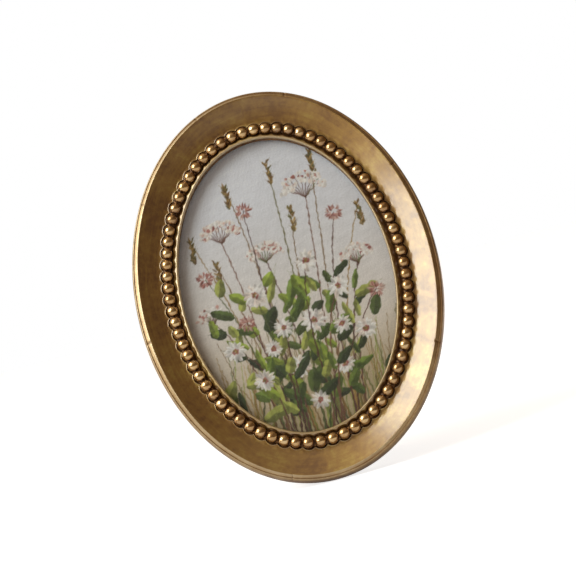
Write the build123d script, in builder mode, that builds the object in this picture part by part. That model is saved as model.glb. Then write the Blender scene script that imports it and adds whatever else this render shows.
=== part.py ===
from build123d import *
from math import asin, atan2, cos, degrees, radians, sin, tan
import os

# Oval picture frame with a gilt, beaded moulding, for an oval 127 x 178 mm print. Sizes in mm.
# It stands on a hinged easel strut, or hangs by a ring at the top of its back.
# On the frame's own plane x runs to the right, y up the frame and z out of its front,
# and height 0 is the moulding's flat back. The strut has a like plane on the hinge axis.

# Attitude
lean_angle = 16.0  # the frame leans back this far from upright
strut_angle = 26.0  # the strut stands open this far from the back
quarter_turn = 90.0

# Sheets in the rabbet
print_width = 127.0
print_height = 178.0
glass_thickness = 2.0
print_thickness = 0.4
filler_thickness = 3.2
board_thickness = 3.2
felt_thickness = 0.4
sheet_clearance = 0.5

# Moulding, from the sight edge outwards
sight_overlap = 4.25  # how far the sight rim covers the print's edge
sight_bevel_run = 1.0
rim_crest_width = 0.2
rim_width = 2.3
channel_width = 7.9
cove_run_sides = 11.55
cove_run_ends = 14.25
lip_crest_width = 0.25
lip_slope_run = 1.65  # down the outside of the lip
nose_shelf_width = 0.4  # the flat between the lip and the nose
nose_run = 1.2  # from the shelf's outer edge out to the widest line
bevel_run = 2.8  # from the widest line in to the back edge

# Moulding, heights
shelf_thickness = 1.4  # between the rabbet and the bead channel
channel_depth = 1.0
rim_rise = 2.6  # the sight rim's crest above the channel floor
rim_side_drop = 1.2  # down the rounded side of the rim, towards the beads
sight_bevel_drop = 1.2  # from the rim's crest down to the sight edge
cove_rise = 5.7
cove_bend_share = 1.15  # 1 is a straight slope, more is hollower
lip_drop = 0.9  # from the lip's crest down its outside to the shelf
nose_drop = 5.3  # from the shelf down to the widest line
curve_steps = 5  # sections along each lofted curve

# Bead strand
bead_count = 74
bead_gap = 0.17
half_share = 0.5
bead_rise = 1.5  # bead centres above the channel floor
web_width = 3.0
web_thickness = 0.8

# Turn buttons, four alike, on the flat back
button_angle = 45.0  # round the oval from its widest line
button_width = 7.5
button_overlap = 3.5  # how far a button reaches over the back board
button_gauge = 0.9
button_clearance = 0.1
button_names = ("upper_right", "upper_left", "lower_left", "lower_right")

# Screws
screw_radius = 1.25
screw_length = 7.5
screw_tip = 0.6
screw_head_radius = 2.6
screw_head_height = 1.3
screw_head_round = 0.6
recess_length = 3.2
recess_width = 0.7
recess_depth = 0.7
screw_fit = 0.05

# Easel hinge
hinge_height = 32.0  # the hinge axis above the oval's middle
hinge_width = 26.0
hinge_gauge = 0.8
knuckle_radius = 2.0
knuckle_length = 6.0
knuckle_gap = 0.3
pin_radius = 1.1
pin_fit = 0.02
running_fit = 0.06
pin_head_radius = 1.7
pin_head_height = 0.6
plate_length = 19.0
plate_corner = 2.5
leaf_length = 24.0
leaf_corner = 2.5
stop_clearance = 0.15

# Rivets
rivet_radius = 1.2
rivet_fit = 0.05
rivet_head_radius = 2.3
rivet_head_height = 0.9
rivet_head_round = 0.6
plate_rivet_spacing = 15.0
plate_rivet_height = 13.0
leaf_rivet_drops = (9.0, 18.0)

# Easel strut
strut_thickness = 2.6
strut_gap = 0.5  # between the folded strut and the back
strut_top_width = 24.0
strut_foot_width = 38.0
strut_corner = 4.0

# Hanging ring
hanger_inset = 7.4  # from the top edge of the back down to the ring's axis
strap_width = 8.0
strap_length = 11.5
strap_corner = 2.5
strap_gauge = 0.8
strap_screw_drop = 7.8
loop_radius = 1.9
loop_clearance = 0.3
ring_wire_radius = 0.9
ring_fit = 0.1
ring_width = 14.0
ring_drop = 10.5
ring_bar_corner = 1.8
ring_bow_corner = 5.2

overrun = 1.0  # how far cuts run past what they cut

# Heights above the moulding's back
board_front = felt_thickness + board_thickness
filler_front = board_front + filler_thickness
print_front = filler_front + print_thickness
rabbet_depth = print_front + glass_thickness
channel_floor = rabbet_depth + shelf_thickness
cove_foot = channel_floor + channel_depth
lip_crest = cove_foot + cove_rise
nose_shelf = lip_crest - lip_drop
widest_height = nose_shelf - nose_drop
rim_crest = channel_floor + rim_rise
rim_shoulder = rim_crest - rim_side_drop
sight_edge = rim_crest - sight_bevel_drop
bead_height = channel_floor + bead_rise

# Distances out from the sight edge, not counting the cove
sight_half_width = print_width / 2 - sight_overlap
sight_half_height = print_height / 2 - sight_overlap
rabbet_out = sight_overlap + sheet_clearance
rim_crest_out = sight_bevel_run + rim_crest_width
channel_out = rim_width + channel_width
bead_out = rim_width + channel_width / 2
lip_out = channel_out + lip_crest_width
lip_foot_out = lip_out + lip_slope_run
nose_out = lip_foot_out + nose_shelf_width
widest_out = nose_out + nose_run
back_out = widest_out - bevel_run
half_height = sight_half_height + widest_out + cove_run_ends
back_half_height = half_height - bevel_run
hanger_height = back_half_height - hanger_inset

# Hinge and ring parts, measured from their axes towards the front
leaf_front = hinge_gauge - knuckle_radius
strut_back = leaf_front + felt_thickness
strut_front = strut_back + strut_thickness
axis_standoff = strut_front + strut_gap
plate_back = axis_standoff - hinge_gauge
ring_standoff = loop_radius + loop_clearance

# The frame stands on the lower edge of its back, or on its widest line if that is lower.
lean = radians(lean_angle)
opening = radians(strut_angle)
splay = opening - lean  # the open strut's angle from upright
stand_height = max(back_half_height * cos(lean), half_height * cos(lean) - widest_height * sin(lean))
hinge_back = hinge_height * sin(lean) + axis_standoff * cos(lean)
hinge_rise = stand_height + hinge_height * cos(lean) - axis_standoff * sin(lean)
# The origin is under the middle of the depth, which runs from the lip to the strut's foot.
lip_reach = (half_height - widest_out + lip_out) * sin(lean) + lip_crest * cos(lean)
foot_reach = hinge_back + hinge_rise * tan(splay) - leaf_front / cos(splay)
frame_shift = (lip_reach - foot_reach) / 2


def leaning_plane(shift, height, angle):
    """A plane that faces the front, leaning back by this angle in radians."""
    return Plane(origin=(0, shift, height), x_dir=(1, 0, 0), z_dir=(0, -cos(angle), sin(angle)))


def side_plane(plane):
    """The plane across another one's left to right axis: its x is the other's y, its y the other's z."""
    return Plane(origin=plane.origin, x_dir=plane.y_dir, z_dir=plane.x_dir)


def depth_axis(plane):
    """The axis from the back of a plane to its front."""
    return Axis(plane.origin, plane.z_dir)


frame_plane = leaning_plane(frame_shift, stand_height, lean)
hinge_point = frame_plane.from_local_coords((0, hinge_height, -axis_standoff))
ring_point = frame_plane.from_local_coords((0, hanger_height, -ring_standoff))
strut_plane = leaning_plane(hinge_point.Y, hinge_point.Z, -splay)
ring_plane = leaning_plane(ring_point.Y, ring_point.Z, 0)
hinge_side = side_plane(leaning_plane(hinge_point.Y, hinge_point.Z, lean))
strut_side = side_plane(strut_plane)
strap_side = side_plane(leaning_plane(ring_point.Y, ring_point.Z, lean))

# Points on the frame's plane, and on the strut's plane, where fasteners go through
plate_rivet_points = [
    (side * plate_rivet_spacing / 2, hinge_height + plate_rivet_height) for side in (-1, 1)
]
leaf_rivet_points = [(0, -drop) for drop in leaf_rivet_drops]
strap_screw_places = [Location((0, hanger_height - strap_screw_drop, 0))]

# A button pivots half way between the rabbet and the edge of the back, and points inwards.
button_margin = (back_out - rabbet_out + cove_run_ends) / 2
button_reach = button_margin + sheet_clearance + button_overlap
button_sweep = button_reach - button_width / 2
pivot_half_width = sight_half_width + (rabbet_out + back_out + cove_run_sides) / 2
pivot_half_height = sight_half_height + (rabbet_out + back_out + cove_run_ends) / 2
button_places = []
for side, end in ((1, 1), (-1, 1), (-1, -1), (1, -1)):
    across = side * cos(radians(button_angle))
    along = end * sin(radians(button_angle))
    inwards = degrees(atan2(-along / pivot_half_height, -across / pivot_half_width))
    pivot = (pivot_half_width * across, pivot_half_height * along, 0)
    button_places.append(Location(pivot, (0, 0, inwards)))


def oval(height, out, cove_share=0, holes=()):
    """An oval across the frame, this far out from the sight edge plus this share of the cove."""
    with BuildSketch(frame_plane.offset(height)) as section:
        Ellipse(
            sight_half_height + out + cove_share * cove_run_ends,
            sight_half_width + out + cove_share * cove_run_sides,
            rotation=quarter_turn,
        )
        for hole in holes:
            with Locations(hole):
                Circle(rivet_radius + rivet_fit, mode=Mode.SUBTRACT)
    return section.sketch


def quarter_round(foot, rise, out, run, cove_share=0):
    """Ovals up a quarter round, from this height and this run further out, up and in to the rest."""
    sections = []
    for step in range(curve_steps + 1):
        turn = radians(quarter_turn * step / curve_steps)
        sections.append(oval(foot + rise * sin(turn), out + run * cos(turn), cove_share))
    return sections


def save(piece, name):
    """Label a finished piece and write its file."""
    piece.part.label = name
    export_step(piece.part, f"parts/{name}.step")


def screws(places, seat):
    """Cross-head screws driven into the back, their heads seated at this height."""
    depth = depth_axis(frame_plane)
    with BuildPart() as group:
        with BuildSketch(frame_plane.offset(seat)):
            with Locations(*places):
                Circle(screw_radius)
        extrude(amount=screw_length)
        chamfer(group.edges().group_by(depth)[-1], screw_tip)
        with BuildSketch(frame_plane.offset(seat)):
            with Locations(*places):
                Circle(screw_head_radius)
        extrude(amount=-screw_head_height)
        fillet(group.edges().group_by(depth)[0], screw_head_round)
        with BuildSketch(frame_plane.offset(seat - screw_head_height)):
            with Locations(*places):
                Rectangle(recess_length, recess_width)
                Rectangle(recess_width, recess_length)
        extrude(amount=recess_depth, mode=Mode.SUBTRACT)
    return group


def rivets(plane, points, front, seat):
    """Rivets through a stack of sheets, flush at its front and with round heads at its back."""
    with BuildPart() as group:
        with BuildSketch(plane.offset(seat)):
            with Locations(*points):
                Circle(rivet_radius)
        extrude(amount=front - seat)
        with BuildSketch(plane.offset(seat)):
            with Locations(*points):
                Circle(rivet_head_radius)
        extrude(amount=-rivet_head_height)
        fillet(group.edges().group_by(depth_axis(plane))[0], rivet_head_round)
    return group


def strut_outline(height):
    """The strut's outline on its own plane, long enough to be cut off level at the floor."""
    top = -knuckle_radius - knuckle_gap
    foot = -hinge_rise / cos(splay) - overrun
    with BuildSketch(strut_plane.offset(height)) as outline:
        with BuildLine():
            Polyline(
                (-strut_top_width / 2, top),
                (strut_top_width / 2, top),
                (strut_foot_width / 2, foot),
                (-strut_foot_width / 2, foot),
                close=True,
            )
        make_face()
        fillet(outline.vertices().group_by(Axis.Y)[-1], strut_corner)
        with Locations(*leaf_rivet_points):
            Circle(rivet_radius + rivet_fit, mode=Mode.SUBTRACT)
    return outline.sketch


os.makedirs("parts", exist_ok=True)

# Moulding: a bevelled back, a rounded nose, a sharp lip, a hollow cove, a channel and a sight rim
with BuildPart() as frame_moulding:
    loft([oval(0, back_out, 1), oval(widest_height, widest_out, 1)], ruled=True)
    loft(quarter_round(widest_height, nose_drop, nose_out, nose_run, 1))
    loft([oval(nose_shelf, lip_foot_out, 1), oval(lip_crest, lip_out, 1)], ruled=True)
    cove_sections = []
    for step in range(curve_steps + 1):
        cove_share = step / curve_steps
        cove_height = cove_foot + cove_rise * cove_share**cove_bend_share
        cove_sections.append(oval(cove_height, channel_out, cove_share))
    loft(cove_sections, mode=Mode.SUBTRACT)
    extrude(oval(channel_floor, channel_out), amount=channel_depth, mode=Mode.SUBTRACT)
    extrude(oval(channel_floor, rim_width), amount=rim_rise - rim_side_drop)
    loft(quarter_round(rim_shoulder, rim_side_drop, rim_crest_out, rim_width - rim_crest_out))
    extrude(oval(0, 0), amount=sight_edge, mode=Mode.SUBTRACT)
    loft([oval(sight_edge, 0), oval(rim_crest, sight_bevel_run)], ruled=True, mode=Mode.SUBTRACT)
    extrude(oval(0, rabbet_out), amount=rabbet_depth, mode=Mode.SUBTRACT)
    with BuildSketch(frame_plane):
        with Locations(*button_places, *strap_screw_places):
            Circle(screw_radius + screw_fit)
    extrude(amount=screw_length, mode=Mode.SUBTRACT)
save(frame_moulding, "frame_moulding")

# Bead strand: round beads with flat backs, joined by a web, in the moulding's channel
# The beads are evenly spaced round the oval, which starts at the top, between two of them.
bead_ring = oval(bead_height, bead_out).edge()
bead_radius = (bead_ring.length / bead_count - bead_gap) / 2
bead_places = []
for bead in range(bead_count):
    centre = bead_ring @ ((bead + half_share) / bead_count)
    bead_places.append(Plane(origin=centre, x_dir=frame_plane.x_dir, z_dir=frame_plane.z_dir))
with BuildPart() as bead_strand:
    extrude(oval(channel_floor, bead_out + web_width / 2), amount=web_thickness)
    extrude(oval(channel_floor, bead_out - web_width / 2), amount=web_thickness, mode=Mode.SUBTRACT)
    with Locations(*bead_places):
        Sphere(bead_radius, arc_size1=-degrees(asin(bead_rise / bead_radius)), align=None)
save(bead_strand, "bead_strand")

# Sheets in the rabbet, from the front
with BuildPart() as glass_pane:
    extrude(oval(print_front, sight_overlap), amount=glass_thickness)
save(glass_pane, "glass_pane")

with BuildPart() as picture_print:
    extrude(oval(filler_front, sight_overlap), amount=print_thickness)
save(picture_print, "picture_print")

with BuildPart() as filler_card:
    extrude(oval(board_front, sight_overlap), amount=filler_thickness)
save(filler_card, "filler_card")

with BuildPart() as back_board:
    extrude(oval(felt_thickness, sight_overlap, holes=plate_rivet_points), amount=board_thickness)
save(back_board, "back_board")

with BuildPart() as back_felt:
    extrude(oval(0, sight_overlap, holes=plate_rivet_points), amount=felt_thickness)
save(back_felt, "back_felt")

# Turn buttons and their screws
for place, name in zip(button_places, button_names):
    with BuildPart() as turn_button:
        with BuildSketch(frame_plane.offset(-button_clearance)):
            with Locations(place):
                with Locations((button_sweep / 2, 0)):
                    SlotCenterToCenter(button_sweep, button_width)
                Circle(screw_radius + running_fit, mode=Mode.SUBTRACT)
        extrude(amount=-button_gauge)
    save(turn_button, f"turn_button_{name}")

save(screws(button_places, -button_gauge - 2 * button_clearance), "turn_button_screws")

# Hinge plate: riveted to the back, with a knuckle at each end of its lower edge
with BuildPart() as hinge_plate:
    plate_foot = knuckle_radius + knuckle_gap
    with BuildSketch(frame_plane) as plate_outline:
        with Locations((0, hinge_height + (plate_foot + plate_length) / 2)):
            Rectangle(hinge_width, plate_length - plate_foot)
        fillet(plate_outline.vertices().group_by(Axis.Y)[-1], plate_corner)
        with Locations(*plate_rivet_points):
            Circle(rivet_radius + rivet_fit, mode=Mode.SUBTRACT)
    extrude(amount=-hinge_gauge)
    for side in (-1, 1):
        with BuildSketch(hinge_side.offset(side * (hinge_width - knuckle_length) / 2)):
            Circle(knuckle_radius)
            with Locations((plate_foot / 2, axis_standoff / 2)):
                Rectangle(plate_foot, axis_standoff)
            Circle(pin_radius + pin_fit, mode=Mode.SUBTRACT)
        extrude(amount=knuckle_length / 2, both=True)
save(hinge_plate, "hinge_plate")

# Strut leaf: the middle knuckle, a tail riveted to the strut and a tongue that stops it open
with BuildPart() as strut_leaf:
    leaf_width = hinge_width - 2 * knuckle_length - 2 * knuckle_gap
    stop_reach = (plate_back - stop_clearance - leaf_front * cos(opening)) / sin(opening)
    with BuildSketch(strut_plane.offset(-knuckle_radius)) as leaf_outline:
        with Locations((0, (stop_reach - leaf_length) / 2)):
            Rectangle(leaf_width, stop_reach + leaf_length)
        fillet(leaf_outline.vertices().group_by(Axis.Y)[0], leaf_corner)
        with Locations(*leaf_rivet_points):
            Circle(rivet_radius + rivet_fit, mode=Mode.SUBTRACT)
    extrude(amount=hinge_gauge)
    with BuildSketch(strut_side):
        Circle(knuckle_radius)
    extrude(amount=leaf_width / 2, both=True)
    with BuildSketch(strut_side):
        Circle(pin_radius + running_fit)
    extrude(amount=leaf_width / 2, both=True, mode=Mode.SUBTRACT)
save(strut_leaf, "strut_leaf")

# Hinge pin with a head at each end
with BuildPart() as hinge_pin:
    with BuildSketch(hinge_side):
        Circle(pin_radius)
    extrude(amount=hinge_width / 2, both=True)
    for side in (-1, 1):
        with BuildSketch(hinge_side.offset(side * hinge_width / 2)):
            Circle(pin_head_radius)
        extrude(amount=side * pin_head_height)
save(hinge_pin, "hinge_pin")

# Strut and the felt on its back, cut off level where they meet the floor
with BuildPart() as easel_strut:
    extrude(strut_outline(strut_back), amount=strut_thickness)
    split(bisect_by=Plane.XY, keep=Keep.TOP)
save(easel_strut, "easel_strut")

with BuildPart() as strut_felt:
    extrude(strut_outline(leaf_front), amount=felt_thickness)
    split(bisect_by=Plane.XY, keep=Keep.TOP)
save(strut_felt, "strut_felt")

save(rivets(frame_plane, plate_rivet_points, board_front, -hinge_gauge), "hinge_plate_rivets")
save(rivets(strut_plane, leaf_rivet_points, strut_front, -knuckle_radius), "strut_rivets")

# Hanger strap: screwed to the back, with a loop at its upper end
with BuildPart() as hanger_strap:
    with BuildSketch(frame_plane) as strap_outline:
        with Locations((0, hanger_height - strap_length / 2)):
            Rectangle(strap_width, strap_length)
        fillet(strap_outline.vertices().group_by(Axis.Y)[0], strap_corner)
        with Locations(*strap_screw_places):
            Circle(screw_radius + screw_fit, mode=Mode.SUBTRACT)
    extrude(amount=-strap_gauge)
    with BuildSketch(strap_side):
        Circle(loop_radius)
        with Locations((-loop_radius / 2, ring_standoff / 2)):
            Rectangle(loop_radius, ring_standoff)
        Circle(ring_wire_radius + ring_fit, mode=Mode.SUBTRACT)
    extrude(amount=strap_width / 2, both=True)
save(hanger_strap, "hanger_strap")

save(screws(strap_screw_places, -strap_gauge), "hanger_screw")

# Hanging ring: bent wire, hanging straight down from the strap's loop
with BuildPart() as hanger_ring:
    with BuildLine(ring_plane) as ring_path:
        FilletPolyline(
            (ring_width / 2, -ring_drop),
            (ring_width / 2, 0),
            (-ring_width / 2, 0),
            (-ring_width / 2, -ring_drop),
            radius=(ring_bow_corner, ring_bar_corner, ring_bar_corner, ring_bow_corner),
            close=True,
        )
    with BuildSketch(Plane(origin=ring_path.line @ 0, z_dir=ring_path.line % 0)):
        Circle(ring_wire_radius)
    sweep(path=ring_path.line)
save(hanger_ring, "hanger_ring")
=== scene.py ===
import math
import bpy
import numpy as np
from mathutils import Matrix, Vector

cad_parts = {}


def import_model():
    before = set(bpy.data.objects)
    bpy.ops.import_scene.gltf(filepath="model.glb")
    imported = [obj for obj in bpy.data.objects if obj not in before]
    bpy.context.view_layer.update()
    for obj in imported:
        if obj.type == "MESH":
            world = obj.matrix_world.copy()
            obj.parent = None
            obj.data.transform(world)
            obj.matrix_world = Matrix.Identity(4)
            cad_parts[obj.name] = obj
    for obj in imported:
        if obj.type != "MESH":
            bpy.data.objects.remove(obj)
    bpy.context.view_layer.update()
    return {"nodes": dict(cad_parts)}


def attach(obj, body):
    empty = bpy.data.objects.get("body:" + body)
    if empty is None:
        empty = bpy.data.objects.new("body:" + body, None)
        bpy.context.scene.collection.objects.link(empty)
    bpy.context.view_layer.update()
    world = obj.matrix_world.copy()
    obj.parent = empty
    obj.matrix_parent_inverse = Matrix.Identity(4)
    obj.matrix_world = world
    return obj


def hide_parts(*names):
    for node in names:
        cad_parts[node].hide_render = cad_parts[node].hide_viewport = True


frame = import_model()
nodes = frame["nodes"]

# The frame's own plane, as in the part: u to the right, v up the frame, w out of its front, in mm
LEAN = math.radians(16.0)
ORIGIN = np.array([0.0, 5.3044, 105.6427])
AXES = np.array([[1, 0, 0], [0, math.sin(LEAN), math.cos(LEAN)], [0, -math.cos(LEAN), math.sin(LEAN)]])
MM = 1000.0  # in a metre
SIGHT = (58.95, 84.75)  # half width and half height of the sight edge
COVE = (11.4, 14.25)  # width of the cove at the sides, and at top and bottom
CHANNEL_OUT, CHANNEL_W = 10.2, 10.6  # outer edge and floor of the bead channel
NOSE_SPREAD = 0.7  # the nose stands this much further out at the sides
# Beads: count, distance out from the sight edge, height, radius
BEADS, BEAD_OUT, BEAD_W, BEAD_R = 74, 6.25, 12.1, 3.26
STEPS = 16  # moulding sections for each bead
WEB_STEPS, PANE_STEPS = 296, 240  # sections round the beads' web, and round the glass
PRINT = (63.5, 89.0)  # half width and half height
PRINT_BACK, PRINT_TOP = 6.8, 7.15  # the top keeps just clear of the glass
PRINT_FOOT = -92.0  # where stems start, below the print's edge
FULL_TURN = 6.283
LIP_SHADED_SIDE = math.radians(80)  # where the lip and nose are painted darkest, on the side turned from the lamp, clockwise from the top
# Small nicks on the lip: angle round the oval from the top, clockwise, and half length in mm
NICKS = [(math.radians(a), s) for a, s in (
    (18, 0.9), (64, 0.7), (120, 0.8), (196, 0.6), (262, 1.0), (305, 0.7), (341, 0.8))]


def world(points):
    """Points on the frame's plane, in mm, as points of the scene, in metres."""
    return (ORIGIN + np.asarray(points, float) @ AXES) / MM


def oval(out, turns, w):
    """Points on the oval this far out from the sight edge, at height w."""
    return np.c_[(SIGHT[0] + out) * np.sin(turns), (SIGHT[1] + out) * np.cos(turns), np.full(len(turns), w)]


def smooth(low, high, value):
    x = np.clip((np.asarray(value, float) - low) / (high - low), 0, 1)
    return x * x * (3 - 2 * x)


def even_turns(count, out, shift):
    """Angles that space points evenly round the oval this far out from the sight edge."""
    a, b = SIGHT[0] + out, SIGHT[1] + out
    t = np.linspace(0, 2 * math.pi, 20001)
    run = np.concatenate([[0], np.cumsum(np.hypot(np.diff(a * np.sin(t)), np.diff(b * np.cos(t))))])
    return np.interp((np.arange(count) + shift) / count * run[-1], run, t), run[-1]


def waves(seed, count, *values):
    """Smooth, seeded, uneven waves over the values, about -1 to 1."""
    r = np.random.default_rng(seed)
    total = 0
    for k in range(count):
        phase = r.uniform(0, FULL_TURN)
        total = total + np.sin(sum(v * r.normal(0, 1) for v in values) + phase)
    return total / math.sqrt(count)


def make(name, points, faces, body="frame", stands_for=None, smooth_faces=True):
    mesh = bpy.data.meshes.new(name)
    mesh.from_pydata([tuple(p) for p in world(points)], [], faces)
    mesh.update()
    mesh.polygons.foreach_set("use_smooth", [smooth_faces] * len(mesh.polygons))
    piece = bpy.data.objects.new(name, mesh)
    bpy.context.scene.collection.objects.link(piece)
    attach(piece, body)
    if stands_for:
        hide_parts(stands_for)
    return piece


def put(piece, name, values):
    """A number for each point of a piece, for its material."""
    layer = piece.data.attributes.new(name, "FLOAT", "POINT")
    layer.data.foreach_set("value", np.asarray(values, np.float32))


def put_wear_and_shade(piece, hollow, rubbed, along, across):
    """What the gilt materials read: lists of numbers, one list for each line of points."""
    for name, values in (("hollow", hollow), ("rubbed", rubbed), ("along", along), ("across", across)):
        put(piece, name, np.concatenate(values))


# Materials
class Nodes:
    """A material with short calls for its nodes."""

    def __init__(self, name):
        self.mat = bpy.data.materials.new(name)
        self.mat.use_nodes = True
        self.tree = self.mat.node_tree
        self.bsdf = self.tree.nodes["Principled BSDF"]
        self.where = self.tree.nodes.new("ShaderNodeTexCoord").outputs["Object"]

    def link(self, source, socket):
        if isinstance(source, bpy.types.NodeSocket):
            self.tree.links.new(source, socket)
        else:
            socket.default_value = source

    def attribute(self, name):
        node = self.tree.nodes.new("ShaderNodeAttribute")
        node.attribute_name = name
        return node.outputs["Fac"]

    def colour(self, name):
        node = self.tree.nodes.new("ShaderNodeAttribute")
        node.attribute_name = name
        return node.outputs["Color"]

    def vector(self, x, y, z=0.0):
        node = self.tree.nodes.new("ShaderNodeCombineXYZ")
        for value, socket in zip((x, y, z), node.inputs):
            self.link(value, socket)
        return node.outputs[0]

    def stretch(self, vector, by):
        node = self.tree.nodes.new("ShaderNodeVectorMath")
        node.operation = "MULTIPLY"
        self.link(vector, node.inputs[0])
        node.inputs[1].default_value = by
        return node.outputs[0]

    def noise(self, vector, scale, detail=3.0, rough=0.55, warp=0.0):
        node = self.tree.nodes.new("ShaderNodeTexNoise")
        self.link(vector, node.inputs["Vector"])
        node.inputs["Scale"].default_value = scale
        node.inputs["Detail"].default_value = detail
        node.inputs["Roughness"].default_value = rough
        node.inputs["Distortion"].default_value = warp
        return node.outputs["Fac"]

    def cells(self, vector, scale):
        node = self.tree.nodes.new("ShaderNodeTexVoronoi")
        self.link(vector, node.inputs["Vector"])
        node.inputs["Scale"].default_value = scale
        return node.outputs["Distance"]

    def math(self, operation, a, b=0.0, clamp=False):
        node = self.tree.nodes.new("ShaderNodeMath")
        node.operation = operation
        node.use_clamp = clamp
        self.link(a, node.inputs[0])
        self.link(b, node.inputs[1])
        return node.outputs[0]

    def span(self, value, low, high, to_low=0.0, to_high=1.0):
        node = self.tree.nodes.new("ShaderNodeMapRange")
        node.interpolation_type = "SMOOTHSTEP"
        self.link(value, node.inputs["Value"])
        for key, number in (("From Min", low), ("From Max", high), ("To Min", to_low), ("To Max", to_high)):
            node.inputs[key].default_value = number
        return node.outputs["Result"]

    def mix(self, factor, a, b, blend="MIX"):
        node = self.tree.nodes.new("ShaderNodeMix")
        node.data_type = "RGBA"
        node.blend_type = blend
        self.link(factor, node.inputs[0])
        self.link(a, node.inputs[6])
        self.link(b, node.inputs[7])
        return node.outputs[2]

    def bump(self, height, strength, distance, below=None):
        node = self.tree.nodes.new("ShaderNodeBump")
        self.link(height, node.inputs["Height"])
        node.inputs["Strength"].default_value = strength
        node.inputs["Distance"].default_value = distance
        if below:
            self.link(below, node.inputs["Normal"])
        return node.outputs[0]

    def finish(self, **sockets):
        for key, value in sockets.items():
            self.link(value, self.bsdf.inputs[key.replace("_", " ")])
        return self.mat


def linear(shown):
    """Parts of colours given as they look on screen, 0 to 255, as the shader takes them."""
    c = np.asarray(shown) / 255.0
    return np.where(c <= 0.04045, c / 12.92, ((c + 0.055) / 1.055) ** 2.4)


def rgb(red, green, blue):
    return (*linear([red, green, blue]), 1.0)


def gilt(name, leaf, metal_share, shine, coat, coat_shine, lay_scale):
    """Worn, lacquered gold leaf over brown.

    It has a cloudy tone, faint streaks, specks, rubbed edges, and dark hollows that are patina and painted
    shade.
    """
    n = Nodes(name)
    lay = n.vector(n.attribute("along"), n.attribute("across"))
    rubbed = n.attribute("rubbed")
    hollow = n.attribute("hollow")
    clouds = n.noise(n.where, 32.0, 4.0, 0.6, 0.3)
    blotch = n.noise(n.where, 95.0, 4.0, 0.65, 0.5)
    mottle = n.noise(n.where, 330.0, 4.0, 0.65)
    grain = n.noise(n.where, 1500.0, 2.0, 0.6)
    strokes = n.noise(n.stretch(lay, lay_scale), 1.0, 4.0, 0.6, 0.8)
    tone = n.math("ADD", n.math("MULTIPLY", clouds, 0.32), n.math("MULTIPLY", blotch, 0.28))
    tone = n.math("ADD", tone, n.math("MULTIPLY", strokes, 0.20))
    tone = n.math("ADD", tone, n.math("MULTIPLY", mottle, 0.22))
    tone = n.math("ADD", n.span(tone, 0.34, 0.70), n.math("MULTIPLY", rubbed, 0.5))
    tone = n.math("SUBTRACT", tone, n.math("MULTIPLY", hollow, 0.9), True)
    base = n.mix(n.span(tone, 0.0, 0.6), leaf[0], leaf[1])
    base = n.mix(n.span(tone, 0.5, 1.0), base, leaf[2])
    base = n.mix(n.span(rubbed, 0.2, 0.9), base, leaf[3])
    # Patina and painted shade: the hollows turn dark brown and less metallic, also for the shade that falls
    # in them
    dark = n.math("MULTIPLY", hollow, n.span(mottle, 0.25, 0.6, 0.8, 1.0))
    base = n.mix(n.span(dark, 0.25, 0.9), base, rgb(82, 51, 27))
    specks = n.span(n.cells(n.where, 260.0), 0.05, 0.10, 1.0, 0.0)
    specks = n.math("MULTIPLY", specks, n.span(n.noise(n.where, 48.0), 0.58, 0.70))
    base = n.mix(n.math("MULTIPLY", specks, 0.5), base, rgb(74, 48, 24))
    rough = n.span(blotch, 0.3, 0.7, shine + 0.07, shine - 0.05)
    rough = n.math("ADD", rough, n.math("MULTIPLY", hollow, 0.25))
    height = n.math("ADD", n.math("MULTIPLY", strokes, 0.14), n.math("MULTIPLY", grain, 0.2))
    height = n.math("ADD", height, n.math("MULTIPLY", mottle, 1.0))
    height = n.math("SUBTRACT", height, n.math("MULTIPLY", specks, 0.4))
    metallic = n.span(dark, 0.3, 1.0, metal_share, 0.5)
    return n.finish(Base_Color=base, Metallic=metallic, Roughness=rough,
                    Normal=n.bump(height, 0.35, 0.0002),
                    Coat_Weight=coat, Coat_Roughness=coat_shine, Coat_IOR=1.92)


def patina_and_shade(name):
    """Brown, dull dirt in the hollows, with flecks of the leaf left on it; in the bead channel, under the
    beads and on the sight wall it is also painted shade.
    """
    n = Nodes(name)
    mottle = n.noise(n.where, 420.0, 4.0, 0.65)
    flecks = n.noise(n.where, 900.0, 3.0, 0.6)
    base = n.mix(n.span(mottle, 0.35, 0.65), rgb(80, 51, 28), rgb(130, 90, 50))
    base = n.mix(n.span(flecks, 0.54, 0.66, 0.0, 0.8), base, rgb(164, 120, 64))
    return n.finish(Base_Color=base, Metallic=n.span(flecks, 0.50, 0.66, 0.2, 0.8), Roughness=0.55,
                    Normal=n.bump(mottle, 0.5, 0.0003))


def felt(name, colour):
    n = Nodes(name)
    nap = n.noise(n.where, 2600.0, 3.0, 0.7)
    patches = n.noise(n.where, 90.0, 3.0)
    light = tuple(min(1.0, c * 2.2 + 0.006) for c in colour[:3]) + (1.0,)
    base = n.mix(n.span(nap, 0.35, 0.75), colour, light)
    base = n.mix(n.span(patches, 0.45, 0.75, 0.0, 0.4), base, light)
    return n.finish(Base_Color=base, Roughness=0.95, Normal=n.bump(nap, 0.7, 0.0003), Sheen_Weight=0.35,
                    Sheen_Roughness=0.5)


def board(name, colour, light):
    n = Nodes(name)
    fibre = n.noise(n.stretch(n.where, (900.0, 900.0, 160.0)), 1.0, 4.0, 0.65)
    flakes = n.noise(n.where, 420.0, 4.0, 0.7)
    base = n.mix(n.span(n.math("MULTIPLY", fibre, flakes), 0.14, 0.38), colour, light)
    return n.finish(Base_Color=base, Roughness=n.span(flakes, 0.3, 0.7, 0.6, 0.85),
                    Normal=n.bump(fibre, 0.4, 0.0002))


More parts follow.
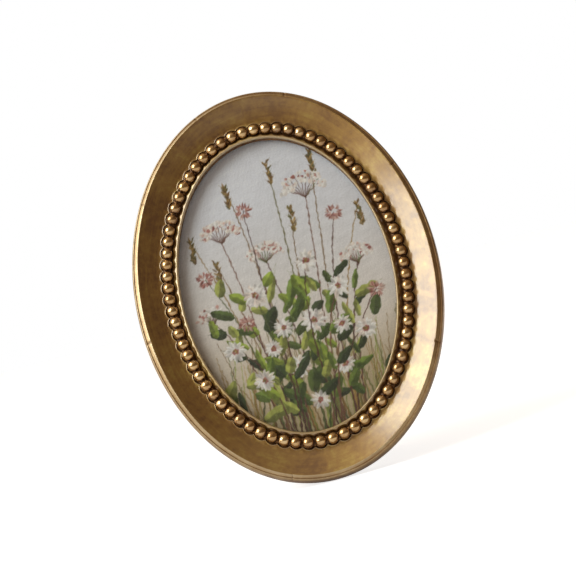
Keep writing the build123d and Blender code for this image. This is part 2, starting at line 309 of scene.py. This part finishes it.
def metal(name, colour, worn, rough):
    """Plated sheet metal with fine brush marks and dull patches."""
    n = Nodes(name)
    brush = n.noise(n.stretch(n.where, (300.0, 2600.0, 2600.0)), 1.0, 3.0, 0.6)
    dull = n.noise(n.where, 160.0, 4.0, 0.65)
    base = n.mix(n.span(dull, 0.42, 0.72, 0.0, 0.8), colour, worn)
    base = n.mix(n.span(brush, 0.3, 0.7, 0.0, 0.35), base, worn)
    return n.finish(Base_Color=base, Metallic=1.0, Roughness=n.span(dull, 0.3, 0.75, rough, rough + 0.22),
                    Normal=n.bump(brush, 0.25, 0.0001))


moulding_leaf = (rgb(115, 77, 33), rgb(148, 111, 49), rgb(172, 145, 70), rgb(198, 174, 132))
edge_leaf = (rgb(130, 97, 62), rgb(168, 137, 94), rgb(188, 163, 122), rgb(194, 175, 144))
bead_leaf = (rgb(136, 95, 48), rgb(192, 150, 90), rgb(220, 186, 128), rgb(232, 206, 156))
gilt_mat = gilt("gilt_moulding", moulding_leaf, 0.74, 0.48, 0.9, 0.22, (40.0, 420.0, 1.0))
edge_mat = gilt("gilt_edge", edge_leaf, 0.9, 0.42, 0.2, 0.25, (40.0, 420.0, 1.0))
patina_and_shade_mat = patina_and_shade("gilt_patina_and_shade")
bead_mat = gilt("gilt_beads", bead_leaf, 0.95, 0.20, 0.7, 0.08, (250.0, 400.0, 1.0))


# Moulding: the part's profile, swept round the oval
def profile():
    """The moulding's lines, from its back inner edge round its outside to the sight rim.

    Each is (how far out, share of the cove, height, hollow, rubbed).
    """
    rows = []

    def add(out, share, w, hollow=0.0, rubbed=0.0):
        rows.append((out, share, w, hollow, rubbed))

    for k in np.linspace(0, 1, 5):
        add(4.75, 0.0, 9.2 * (1 - k), 0.8)
    for k in np.linspace(0.04, 0.96, 6):
        add(4.75 + 6.15 * k, k, 0.0, 0.55)
    for k in np.linspace(0, 1, 9):
        add(10.9 + 2.8 * k, 1.0, 0.25 + 9.55 * k, 0.25 + 0.2 * k)
    for k in np.linspace(0.06, 1, 13):
        turn = k * math.pi / 2
        add(12.3 + 1.4 * math.cos(turn), 1.0, 9.8 + 6.6 * math.sin(turn),
            0.45 - 0.4 * k, 0.15 * k + 0.5 * k ** 3)
    groove = ((12.15, 16.39, 0.2), (12.0, 16.36, 0.3), (11.88, 16.30, 0.5),
              (11.8, 16.28, 0.5), (11.72, 16.33, 0.3))
    for out, w, hollow in groove:
        add(out, 1.0, w, hollow, 0.3 - 0.3 * hollow)
    for k in np.linspace(0.08, 1, 9):
        add(11.7 - 1.2 * k, 1.0, 16.34 + 0.92 * k - 0.10 * k * (k - 1), 0.0, 0.3 + 0.3 * k)
    add(10.42, 1.0, 17.30, 0.0, 0.85)
    add(10.32, 1.0, 17.30, 0.0, 0.8)
    add(10.24, 1.0, 17.25, 0.0, 0.5)
    for k in np.linspace(0.985, 0, 30):
        add(CHANNEL_OUT, k, 11.6 + 5.7 * k ** 1.15)
    add(CHANNEL_OUT, 0.0, 11.66, 0.0, 0.35)
    # From here down into the bead channel and up the rim's outer slope, the hollow value is patina and
    # painted shade: the shade between the beads and the rim
    add(10.05, 0.0, 11.6, 0.3, 0.2)
    add(9.95, 0.0, 11.3, 0.8)
    add(9.7, 0.0, 10.9, 0.9)
    for out in (8.0, 6.25, 4.5):
        add(out, 0.0, CHANNEL_W, 0.9)
    for out, w, hollow in ((3.4, 11.0, 0.6), (2.9, 11.6, 0.4), (2.3, 12.0, 0.25), (1.9, 12.25, 0.2)):
        add(out, 0.0, w, hollow)
    for k in np.linspace(0.1, 1, 8):
        turn = k * math.pi / 2
        add(0.65 + 1.1 * math.cos(turn), 0.0, 12.4 + 0.8 * math.sin(turn), 0.12 * (1 - k), 0.1 + 0.6 * k)
    for k in np.linspace(0.12, 1, 7):
        add(0.55 * (1 - k), 0.0, 13.2 - 1.2 * k ** 1.1, 0.2 * k ** 3, 0.9 - 0.3 * k)
    # The sight wall and rabbet are darkened as patina and as painted shade under the rim
    add(0.0, 0.0, 11.8, 0.7)
    for w in (11.2, 10.2, 9.2):
        add(0.0, 0.0, w, 0.9)
    add(2.4, 0.0, 9.2, 0.8)
    return np.array(rows)


def moulding():
    rows = profile()
    count = BEADS * STEPS
    t, run = even_turns(count, BEAD_OUT, 0.0)
    pitch = run / BEADS
    phase = (np.arange(count) % STEPS) / STEPS
    beside = np.minimum(phase, 1 - phase) * pitch  # distance along the strand from the nearest gap
    wear = np.repeat(np.random.default_rng(3).uniform(-0.22, 0.16, BEADS), STEPS)
    window = np.hanning(STEPS) / np.hanning(STEPS).sum()
    wear = np.convolve(np.r_[wear, wear, wear], window, "same")[count:2 * count]
    reach = np.sqrt((4.12 + wear) ** 2 - np.minimum(pitch / 2 - beside, 3.3) ** 2)
    cusp = CHANNEL_OUT - BEAD_OUT - reach  # the cove's edge runs round each bead and in between the beads
    rim_cusp = 0.7 * smooth(2.2, 0.0, beside) - 0.1
    rim_out = 0.45 * np.cos(t) ** 2 - 0.3 * np.sin(t) ** 2  # the rim's oval is a little taller and narrower
    points, hollow, rubbed, along, across = [], [], [], [], []
    length = 0.0
    previous = None
    for out, share, w, dark, bright in rows:
        here = np.array([out + share * COVE[1], w])
        length += 0.0 if previous is None else float(np.hypot(*(here - previous)))
        previous = here
        o = np.full(count, out)
        h = np.full(count, w)
        d = np.full(count, dark)
        b = np.full(count, bright)
        if 9.8 < out < 10.25 and share < 0.16 and w < 13:
            near = smooth(0.16, 0.0, share)
            o = o - cusp * near
            b = b + near * 0.15 * (w > 11.5)
            h = h + 0.22 * smooth(0.07, 0.0, share) * (w > 11.5)
        if 1.1 < out < 2.4 and w > CHANNEL_W:
            o = o + rim_cusp * smooth(1.1, 1.9, out)
        if out < 2.4 and w > CHANNEL_W:
            o = o + rim_out
        if share == 1.0:
            spread = NOSE_SPREAD * np.clip((out - 10.4) / 1.6, 0, 1) * np.sin(t) ** 2
            o = o + spread
            # Rubbed wear plus painted light: the paleness of the lip and nose is cut to about a third on
            # the right, so they stay lighter on the left where the lamp falls
            b = b * (0.35 + 0.65 * smooth(0.9, -0.3, np.cos(t - LIP_SHADED_SIDE)))
        if share == 1.0 and out > 10.1 and w > 12:
            for place, size in NICKS:
                gap = np.abs((t - place + math.pi) % (2 * math.pi) - math.pi) * 98.0
                dent = smooth(size, 0.0, gap) * smooth(13.0, 17.0, w)
                h = h - 0.3 * dent
                d = np.maximum(d, 0.6 * dent)
        h = h + 0.05 * waves(5, 6, t * 9.0, length * 0.3) * (w > 10.7)
        wide, tall = SIGHT[0] + o + share * COVE[0], SIGHT[1] + o + share * COVE[1]
        points.append(np.c_[wide * np.sin(t), tall * np.cos(t), h])
        hollow.append(d)
        rubbed.append(b)
        along.append(np.arange(count) / count * run / MM)
        across.append(np.full(count, length / MM))
    lines = len(rows)
    faces, finish = [], []  # finish: 0 for leaf, 1 for patina and painted shade in the hollows, 2 for the lip and nose
    for r in range(lines):
        a, b = r * count, ((r + 1) % lines) * count
        two = rows[[r, (r + 1) % lines]]
        edge = 2 * int(two[:, 1].min() == 1.0 and two[:, 0].min() > 10.4)
        finish += [1 if two[:, 3].min() >= 0.5 else edge] * count
        for k in range(count):
            j = (k + 1) % count
            faces.append((a + k, a + j, b + j, b + k))
    piece = make("moulding", np.concatenate(points), faces, stands_for="frame_moulding")
    put_wear_and_shade(piece, hollow, rubbed, along, across)
    for material in (gilt_mat, patina_and_shade_mat, edge_mat):
        piece.data.materials.append(material)
    piece.data.polygons.foreach_set("material_index", finish)


moulding()


# Beads: cast balls, no two quite alike, on a web in the channel
def beads():
    t, run = even_turns(BEADS, BEAD_OUT, 0.5)
    a, b = SIGHT[0] + BEAD_OUT, SIGHT[1] + BEAD_OUT
    rounds, rings = 28, 17
    lat = np.linspace(-0.48, 1.0, rings)[:-1] * math.pi / 2  # below the single point on top
    lon = np.linspace(0, 2 * math.pi, rounds, endpoint=False)
    unit = [(math.cos(p) * math.cos(q), math.cos(p) * math.sin(q), math.sin(p)) for p in lat for q in lon]
    unit = np.array(unit + [(0.0, 0.0, 1.0)])
    points, faces, hollow, rubbed, along, across = [], [], [], [], [], []
    for k in range(BEADS):
        r = np.random.default_rng(500 + k)
        tangent = np.array([a * math.cos(t[k]), -b * math.sin(t[k]), 0.0])
        tangent /= np.linalg.norm(tangent)
        outward = np.array([-tangent[1], tangent[0], 0.0])
        if outward[0] * math.sin(t[k]) + outward[1] * math.cos(t[k]) < 0:
            outward = -outward
        size = BEAD_R * np.array([r.uniform(0.99, 1.03), r.uniform(0.96, 1.01), r.uniform(0.95, 1.02)])
        lumps = 1 + 0.012 * waves(900 + k, 5, unit[:, 0] * 2.2, unit[:, 1] * 2.2, unit[:, 2] * 2.2)
        shape = unit * lumps[:, None] * size
        centre = np.array([a * math.sin(t[k]), b * math.cos(t[k]), BEAD_W])
        centre = centre + np.array([*r.uniform(-0.07, 0.07, 2), r.uniform(-0.1, 0.05)])
        place = centre + shape[:, :1] * tangent + shape[:, 1:2] * outward
        place = place + shape[:, 2:] * np.array([0, 0, 1.0])
        place[:, 2] = np.maximum(place[:, 2], CHANNEL_W + 0.02)
        start = len(points) * len(unit)
        points.append(place)
        # Patina and painted shade: each bead darkens towards where it meets its neighbours and on its
        # underside, where shade falls
        side = smooth(0.60, 0.95, np.abs(unit[:, 0])) * smooth(0.85, 0.3, unit[:, 2])
        low = smooth(0.52, -0.05, unit[:, 2])
        hollow.append(np.clip(np.maximum(side, low) + r.uniform(-0.06, 0.10), 0, 1))
        worn = smooth(0.55, 1.0, unit[:, 2]) * r.uniform(0.2, 0.6) + r.uniform(-0.1, 0.1)
        rubbed.append(np.clip(worn, 0, 1))
        along.append((k * 7 + np.arctan2(unit[:, 1], unit[:, 0])) * BEAD_R / MM)
        across.append((k * 3 + unit[:, 2]) * BEAD_R / MM)
        for j in range(rounds):
            m = (j + 1) % rounds
            for i in range(start, start + (rings - 2) * rounds, rounds):
                faces.append((i + j, i + m, i + rounds + m, i + rounds + j))
            last = start + (rings - 2) * rounds
            faces.append((last + j, last + m, last + rounds))
        faces.append(tuple(start + j for j in reversed(range(rounds))))
    first = len(points) * len(unit)
    bead_faces = len(faces)
    turns = np.linspace(0, 2 * math.pi, WEB_STEPS, endpoint=False)
    # The web's section: distance out from the beads' middle, height
    web = ((-2.4, CHANNEL_W), (-1.9, 12.2), (1.9, 12.2), (2.4, CHANNEL_W))
    # Patina and painted shade: the web between and under the beads is dark
    for off, w in web:
        points.append(oval(BEAD_OUT + off, turns, w))
        hollow.append(np.full(WEB_STEPS, 0.85))
        rubbed.append(np.zeros(WEB_STEPS))
        along.append(turns * 0.08)
        across.append(np.full(WEB_STEPS, w / MM))
    for i in range(len(web)):
        p, q = first + i * WEB_STEPS, first + (i + 1) % len(web) * WEB_STEPS
        for j in range(WEB_STEPS):
            m = (j + 1) % WEB_STEPS
            faces.append((p + j, p + m, q + m, q + j))
    piece = make("beads", np.concatenate(points), faces, stands_for="bead_strand")
    put_wear_and_shade(piece, hollow, rubbed, along, across)
    piece.data.materials.append(bead_mat)
    piece.data.materials.append(patina_and_shade_mat)
    piece.data.polygons.foreach_set("material_index", [0] * bead_faces + [1] * (len(faces) - bead_faces))


beads()


# Print: a made-up meadow, painted on the points of a fine sheet
def picture():
    cols, rows = 250, 350
    a, b = PRINT
    gx, gy = np.meshgrid(np.linspace(-1, 1, cols), np.linspace(-1, 1, rows))
    u = (a * gx * np.sqrt(1 - gy ** 2 / 2)).ravel()
    v = (b * gy * np.sqrt(1 - gx ** 2 / 2)).ravel()
    r = np.random.default_rng(41)
    x = u + 0.28 * waves(21, 9, u * 0.9, v * 0.9)
    y = v + 0.28 * waves(22, 9, u * 0.9, v * 0.9)
    cloud = waves(23, 9, u * 0.035, v * 0.03) * 0.5 + waves(24, 12, u * 0.16, v * 0.12) * 0.25
    fade = smooth(-70, 60, v + 8 * cloud)[:, None]
    ink = np.array([232, 221, 206.0]) * (1 - fade) + np.array([234, 238, 249.0]) * fade
    ink = ink * (1 + 0.028 * cloud + 0.012 * waves(25, 14, u * 1.6, v * 1.6))[:, None]
    haze = smooth(-20, -88, v + 7 * waves(26, 8, u * 0.14, v * 0.05))[:, None] * 0.6
    ink += (np.array([158, 138, 92.0]) - ink) * haze

    def lay(near, cover, colour):
        ink[near] += (np.clip(colour, 0, 255) - ink[near]) * np.clip(cover, 0, 1)[:, None]

    def leaf(px, py, length, width, angle, colour, cover=0.95, vein=0.2):
        near = np.nonzero((np.abs(x - px) < length * 1.1) & (np.abs(y - py) < length * 1.1))[0]
        c, s = math.cos(angle), math.sin(angle)
        far = ((x[near] - px) * c + (y[near] - py) * s) / length
        side = (y[near] - py) * c - (x[near] - px) * s
        half = width / 2 * np.sqrt(np.clip(np.sin(math.pi * np.clip(far, 0, 1) ** 0.85), 0, 1))
        light = 1 + vein * np.tanh(side / 0.5) * (1 if c > 0 else -1)
        light = light - vein * smooth(0.45, 0.0, np.abs(side))
        light = light + 0.10 * waves(int(abs(px * 7 + py * 3)) + 60, 5, x[near] * 0.9, y[near] * 0.9)
        cover = cover * smooth(0.22, -0.28, np.abs(side) - half) * (half > 0)
        lay(near, cover, np.asarray(colour, float) * light[:, None])

    def dot(px, py, size, colour, cover=0.9):
        near = np.nonzero((np.abs(x - px) < size * 2 + 1) & (np.abs(y - py) < size * 2 + 1))[0]
        gap = np.hypot(x[near] - px, y[near] - py)
        light = 1 + 0.12 * (y[near] - py - x[near] + px) / (size + 0.3) * 0.5
        light = np.clip(light, 0.7, 1.2)[:, None]
        lay(near, cover * smooth(size + 0.3, size - 0.3, gap), np.asarray(colour, float) * light)

    def stem(p0, p1, p2, wide, thin, colour, cover=0.92):
        k = np.linspace(0, 1, 70)[:, None]
        line = (1 - k) ** 2 * np.array(p0) + 2 * k * (1 - k) * np.array(p1) + k ** 2 * np.array(p2)
        low, high = line.min(0) - 2, line.max(0) + 2
        near = np.nonzero((x > low[0]) & (x < high[0]) & (y > low[1]) & (y < high[1]))[0]
        best = np.full(len(near), 9.0)
        for i in range(0, 69, 3):
            d = line[i + 3] - line[i]
            f = ((x[near] - line[i, 0]) * d[0] + (y[near] - line[i, 1]) * d[1]) / (d @ d + 1e-9)
            f = np.clip(f, 0, 1)
            gap = np.hypot(x[near] - line[i, 0] - f * d[0], y[near] - line[i, 1] - f * d[1])
            best = np.minimum(best, gap - (wide + (thin - wide) * (i + 3 * f) / 69))
        lay(near, cover * smooth(0.3, -0.25, best), np.tile(np.asarray(colour, float), (len(near), 1)))
        return line

    greens = ((132, 152, 56), (98, 120, 50), (72, 90, 42), (50, 64, 36), (150, 158, 78))
    ochres = ((178, 146, 84), (152, 118, 62), (122, 90, 50), (104, 98, 52))
    whites = ((246, 244, 240), (232, 228, 226), (238, 226, 218), (250, 249, 247))
    pinks = ((204, 158, 148), (176, 112, 104), (146, 82, 78), (220, 184, 172))
    twigs = ((96, 60, 52), (112, 74, 60), (86, 96, 54), (78, 46, 42))

    def pick(colours):
        return np.array(colours[r.integers(len(colours))], float) * r.uniform(0.93, 1.06)

    def grow(hx, hy, colour, leaves, size=1.0):
        foot = (hx * 0.42 + r.uniform(-7, 7), PRINT_FOOT)
        line = stem(foot, (hx * 0.55 + r.uniform(-6, 6), hy * 0.3 - 30), (hx, hy), 0.5 * size, 0.22, colour)
        for j in range(leaves):
            at = int(r.uniform(12, 60))
            q, d = line[at], line[min(at + 3, 69)] - line[at]
            turn = math.atan2(d[1], d[0]) + r.choice([-1, 1]) * r.uniform(0.45, 1.0)
            leaf(*q, r.uniform(9, 16) * size, r.uniform(3.6, 6.4) * size, turn, pick(greens))

    for j in range(120):
        gx0 = r.uniform(-52, 52)
        tall = r.uniform(-62, -18) - abs(gx0) * 0.12
        stem((gx0, PRINT_FOOT), (gx0 + r.uniform(-4, 4), -70), (gx0 + r.uniform(-11, 11), tall),
             r.uniform(0.3, 0.7), 0.12, pick(ochres if r.uniform() < 0.55 else greens), 0.75)
    ears = ((-21, 62), (5, 70), (-47, 36), (49, 33), (-36, 20), (30, 70), (12, 40))
    for hx, hy in ears:
        grow(hx, hy, pick(ochres), 1, 0.7)
        for j in range(26):
            k = j / 26
            leaf(hx + (r.uniform(-0.4, 0.4)), hy - 12 + 14 * k, r.uniform(2.6, 3.6), 1.1,
                 math.pi / 2 + r.choice([-1, 1]) * r.uniform(0.2, 0.75), pick(ochres), 0.9, 0.1)
    umbels = ((-30, 40, 11.5), (22, 55, 13.5), (41, 8, 9.5), (-8, 22, 10.5), (-45, -6, 8.5))
    for hx, hy, size in umbels:
        grow(hx, hy - size * 0.7, pick(twigs), 4)
        for j in range(11):
            turn = math.radians(12 + 156 * j / 10)
            tip = (hx + size * 0.9 * math.cos(turn), hy - size * 0.25 + size * 0.62 * math.sin(turn))
            bend = ((hx + tip[0]) / 2, hy - size * 0.3)
            stem((hx, hy - size * 0.7), bend, tip, 0.22, 0.15, pick(twigs), 0.8)
        for j in range(150):
            turn, far = r.uniform(-0.25, math.pi + 0.25), size * math.sqrt(r.uniform(0.12, 1.0))
            colour = pick(whites) if r.uniform() < 0.78 else pick(pinks)
            dot(hx + far * math.cos(turn), hy - size * 0.25 + 0.72 * far * math.sin(turn),
                r.uniform(0.45, 1.05), colour)
    tufts = ((-44, 14, 4.4), (-14, 47, 4.4), (35, 33, 4.0), (4, -6, 4.2), (47, -16, 3.8), (-27, -16, 4.0))
    for hx, hy, size in tufts:
        grow(hx, hy, pick(twigs), 3)
        for j in range(64):
            turn, far = r.uniform(0, FULL_TURN), size * math.sqrt(r.uniform(0, 0.6))
            leaf(hx + far * math.cos(turn), hy + far * math.sin(turn) * 0.9, r.uniform(1.6, 2.8), 0.9,
                 turn + r.uniform(-0.5, 0.5), pick(pinks), 0.85, 0.1)
    for j in range(46):
        gx0, gy0 = r.normal(0, 24), r.uniform(-74, -8)
        leaf(gx0, gy0, r.uniform(8, 16), r.uniform(3.4, 7.0), r.uniform(0.2, 2.9), pick(greens), 0.92)
    daisies = ((-19, -2, 7.2), (9, -24, 7.8), (27, -9, 6.8), (-37, -30, 6.4), (-4, -47, 6.6),
               (36, -36, 6.0), (13, 10, 6.6), (-25, -50, 6.0), (20, -52, 5.6), (-8, -24, 6.0),
               (2, -68, 5.4), (-16, -34, 5.0), (24, -30, 5.2))
    for hx, hy, size in daisies:
        grow(hx, hy, pick(twigs), 2)
        tilt, count = r.uniform(0, FULL_TURN), int(r.integers(11, 15))
        for j in range(count):
            turn = tilt + FULL_TURN * j / count + r.uniform(-0.08, 0.08)
            leaf(hx, hy, size * r.uniform(0.88, 1.08), size * 0.40, turn, pick(whites), 0.96, 0.09)
        for j in range(26):
            turn, far = r.uniform(0, FULL_TURN), size * 0.26 * math.sqrt(r.uniform(0, 1))
            colour = pick(ochres) if far < size * 0.16 else pick(pinks[1:3])
            dot(hx + far * math.cos(turn), hy + far * math.sin(turn), 0.5, colour, 0.85)

    ink *= (1 + 0.02 * waves(27, 16, u * 3.1, v * 3.1))[:, None]
    grid = np.arange(cols * rows).reshape(rows, cols)
    corners = (grid[:-1, :-1], grid[:-1, 1:], grid[1:, 1:], grid[1:, :-1])
    faces = [tuple(f) for f in np.stack([c.ravel() for c in corners], axis=1)]
    rim = np.concatenate([grid[0, :-1], grid[:-1, -1], grid[-1, :0:-1], grid[:0:-1, 0]])
    under = np.arange(len(rim)) + cols * rows
    for j in range(len(rim)):
        m = (j + 1) % len(rim)
        faces.append((rim[m], rim[j], under[j], under[m]))
    faces.append(tuple(under[::-1]))
    top = np.c_[u, v, np.full(len(u), PRINT_TOP)]
    points = np.concatenate([top, np.c_[u[rim], v[rim], np.full(len(rim), PRINT_BACK)]])
    piece = make("print_sheet", points, faces, stands_for="picture_print", smooth_faces=False)
    tint = linear(np.clip(np.concatenate([ink, np.full((len(rim), 3), 225.0)]), 0, 255))
    layer = piece.data.color_attributes.new("ink", "FLOAT_COLOR", "POINT")
    layer.data.foreach_set("color", np.c_[tint, np.ones(len(tint))].astype(np.float32).ravel())
    n = Nodes("printed_paper")
    grain = n.noise(n.where, 1400.0, 3.0, 0.7)
    base = n.mix(n.span(grain, 0.3, 0.7, 0.0, 0.12), n.colour("ink"), rgb(120, 112, 104))
    paper = n.finish(Base_Color=base, Roughness=0.62, Normal=n.bump(grain, 0.15, 0.0001))
    piece.data.materials.append(paper)


picture()


# Glass
def pane():
    """Oval glass with a ground edge."""
    turns = np.linspace(0, 2 * math.pi, PANE_STEPS, endpoint=False)
    lines = ((4.05, 7.2), (4.25, 7.4), (4.25, 9.0), (4.05, 9.2))  # how far out, height
    points = [oval(out, turns, w) for out, w in lines]
    last = (len(lines) - 1) * PANE_STEPS
    faces = [tuple(range(PANE_STEPS)), tuple(reversed(range(last, last + PANE_STEPS)))]
    for i in range(0, last, PANE_STEPS):
        for j in range(PANE_STEPS):
            m = (j + 1) % PANE_STEPS
            faces.append((i + m, i + j, i + PANE_STEPS + j, i + PANE_STEPS + m))
    piece = make("glass_sheet", np.concatenate(points), faces, stands_for="glass_pane",
                 smooth_faces=False)
    n = Nodes("glass")
    smear = n.noise(n.where, 22.0, 2.0)
    piece.data.materials.append(n.finish(
        Base_Color=(0.03, 0.035, 0.034, 1.0), Roughness=n.span(smear, 0.3, 0.7, 0.02, 0.06),
        Alpha=0.08, IOR=1.5))


pane()

# Parts kept from the CAD, with better materials
black_felt = felt("black_felt", (0.012, 0.012, 0.014, 1.0))
hardboard = board("hardboard", rgb(74, 50, 32), rgb(116, 84, 56))
card = board("filler_card_paper", rgb(150, 134, 108), rgb(182, 166, 138))
brass = metal("brass_plate", rgb(212, 176, 104), rgb(150, 112, 58), 0.24)
steel = metal("zinc_steel", rgb(196, 192, 182), rgb(140, 134, 122), 0.28)
buttons = [n for n in nodes if n.startswith("turn_button") and not n.endswith("screws")]
for names, material in (
    (("back_felt", "strut_felt"), black_felt),
    (("back_board", "easel_strut"), hardboard),
    (("filler_card",), card),
    (("turn_button_screws", "hanger_screw", "hinge_pin"), steel),
    ((*buttons, "hinge_plate", "strut_leaf", "hinge_plate_rivets", "strut_rivets", "hanger_strap",
      "hanger_ring"), brass),
):
    for name in names:
        nodes[name].data.materials.clear()
        nodes[name].data.materials.append(material)

# Stage, light and camera
def join(tree, operation, a, b):
    """A Math node of two sockets or numbers."""
    node = tree.nodes.new("ShaderNodeMath")
    node.operation = operation
    for value, socket in zip((a, b), node.inputs):
        if isinstance(value, bpy.types.NodeSocket):
            tree.links.new(value, socket)
        else:
            socket.default_value = value
    return node.outputs[0]


def grow_over(tree, value, low, high, amount, interpolation="LINEAR"):
    """From 0 at low to amount at high."""
    node = tree.nodes.new("ShaderNodeMapRange")
    node.interpolation_type = interpolation
    tree.links.new(value, node.inputs["Value"])
    for key, number in (("From Min", low), ("From Max", high), ("To Min", 0.0), ("To Max", amount)):
        node.inputs[key].default_value = number
    return node.outputs["Result"]


def white_rays(tree, mirrored):
    """1 for rays that meet the plain white background; mirrored is the share of reflected rays that do."""
    path = tree.nodes.new("ShaderNodeLightPath").outputs
    direct = join(tree, "MAXIMUM", path["Is Camera Ray"], path["Is Transmission Ray"])
    return join(tree, "MAXIMUM", direct, join(tree, "MULTIPLY", path["Is Glossy Ray"], mirrored))


FLOOR = 4.0  # half its side, in metres
floor_mesh = bpy.data.meshes.new("floor")
floor_mesh.from_pydata(
    [(-FLOOR, -FLOOR, 0), (FLOOR, -FLOOR, 0), (FLOOR, FLOOR, 0), (-FLOOR, FLOOR, 0)], [], [(0, 1, 2, 3)])
floor = bpy.data.objects.new("floor", floor_mesh)
bpy.context.scene.collection.objects.link(floor)
ground = bpy.data.materials.new("floor")
ground.use_nodes = True
tree = ground.node_tree
paint = tree.nodes["Principled BSDF"]
paint.inputs["Base Color"].default_value = (0.65, 0.66, 0.70, 1.0)
paint.inputs["Roughness"].default_value = 0.9
paint.inputs["Emission Color"].default_value = (1, 1, 1, 1)
part = tree.nodes.new("ShaderNodeSeparateXYZ")
tree.links.new(tree.nodes.new("ShaderNodeNewGeometry").outputs["Position"], part.inputs[0])
near = grow_over(tree, part.outputs["Y"], -0.75, -0.35, 0.3)
behind = grow_over(tree, part.outputs["Y"], 0.0, 0.3, 0.7)
glow = join(tree, "MULTIPLY", white_rays(tree, join(tree, "ADD", near, behind)), 0.8)
tree.links.new(glow, paint.inputs["Emission Strength"])
floor_mesh.materials.append(ground)

sky = bpy.data.worlds.new("studio")
bpy.context.scene.world = sky
sky.use_nodes = True
tree = sky.node_tree
back = tree.nodes["Background"]
coord = tree.nodes.new("ShaderNodeTexCoord")


def ramp(direction, low, high, amount):
    """Light that grows towards a direction of the sky."""
    toward = tree.nodes.new("ShaderNodeVectorMath")
    toward.operation = "DOT_PRODUCT"
    tree.links.new(coord.outputs["Generated"], toward.inputs[0])
    toward.inputs[1].default_value = direction
    return grow_over(tree, toward.outputs["Value"], low, high, amount, "SMOOTHSTEP")


# The room: dim and warm, lighter to the left and above
lighter = join(tree, "ADD", ramp((-1, 0, 0), 0.0, 0.9, 0.30), ramp((-0.45, 0, 0.9), 0.3, 1.0, 0.42))
room = tree.nodes.new("ShaderNodeVectorMath")
room.operation = "MULTIPLY_ADD"
tree.links.new(lighter, room.inputs[0])
room.inputs[1].default_value = (1.0, 0.83, 0.60)
room.inputs[2].default_value = (0.164, 0.112, 0.070)
level = tree.nodes.new("ShaderNodeMix")
level.data_type = "RGBA"
tree.links.new(white_rays(tree, ramp((-0.5, 0.87, 0), 0.25, 0.75, 1.0)), level.inputs[0])
tree.links.new(room.outputs[0], level.inputs[6])
level.inputs[7].default_value = (1, 1, 1, 1)
tree.links.new(level.outputs[2], back.inputs["Color"])
back.inputs["Strength"].default_value = 1.0


MIDDLE = Vector((0.0, 0.0, 0.108))  # what the lamp points at


def area_light(name, direction, distance, size, power, colour):
    lamp = bpy.data.lights.new(name, "AREA")
    lamp.shape = "RECTANGLE"
    lamp.size, lamp.size_y = size
    lamp.energy = power
    lamp.color = colour
    place = bpy.data.objects.new(name, lamp)
    place.location = MIDDLE + Vector(direction).normalized() * distance
    place.rotation_euler = (MIDDLE - place.location).to_track_quat("-Z", "Y").to_euler()
    bpy.context.scene.collection.objects.link(place)


area_light("key", (-0.680, -0.405, 0.612), 1.3, (0.78, 1.05), 14.1, (0.94, 1.0, 0.97))

# The camera was fitted to the outlines in the photograph, which is rolled by about 15 degrees
IMAGE, FOCAL, SENSOR = 576.0, 1500.0, 36.0  # image side and focal length in pixels, sensor in mm
camera = bpy.data.objects.new("camera", bpy.data.cameras.new("camera"))
camera.data.sensor_width = SENSOR
camera.data.lens = FOCAL * SENSOR / IMAGE
camera.data.clip_start = 0.01
right = (0.965623, 0.030305, -0.258174)
up = (0.257392, 0.027441, 0.965917)
away = (0.036356, -0.999164, 0.018697)
turn = Matrix((right, up, away)).transposed()
camera.matrix_world = Matrix.Translation((0.03010, -0.833760, 0.120581)) @ turn.to_4x4()
bpy.context.scene.collection.objects.link(camera)
bpy.context.scene.camera = camera
bpy.context.scene.view_settings.view_transform = "Standard"
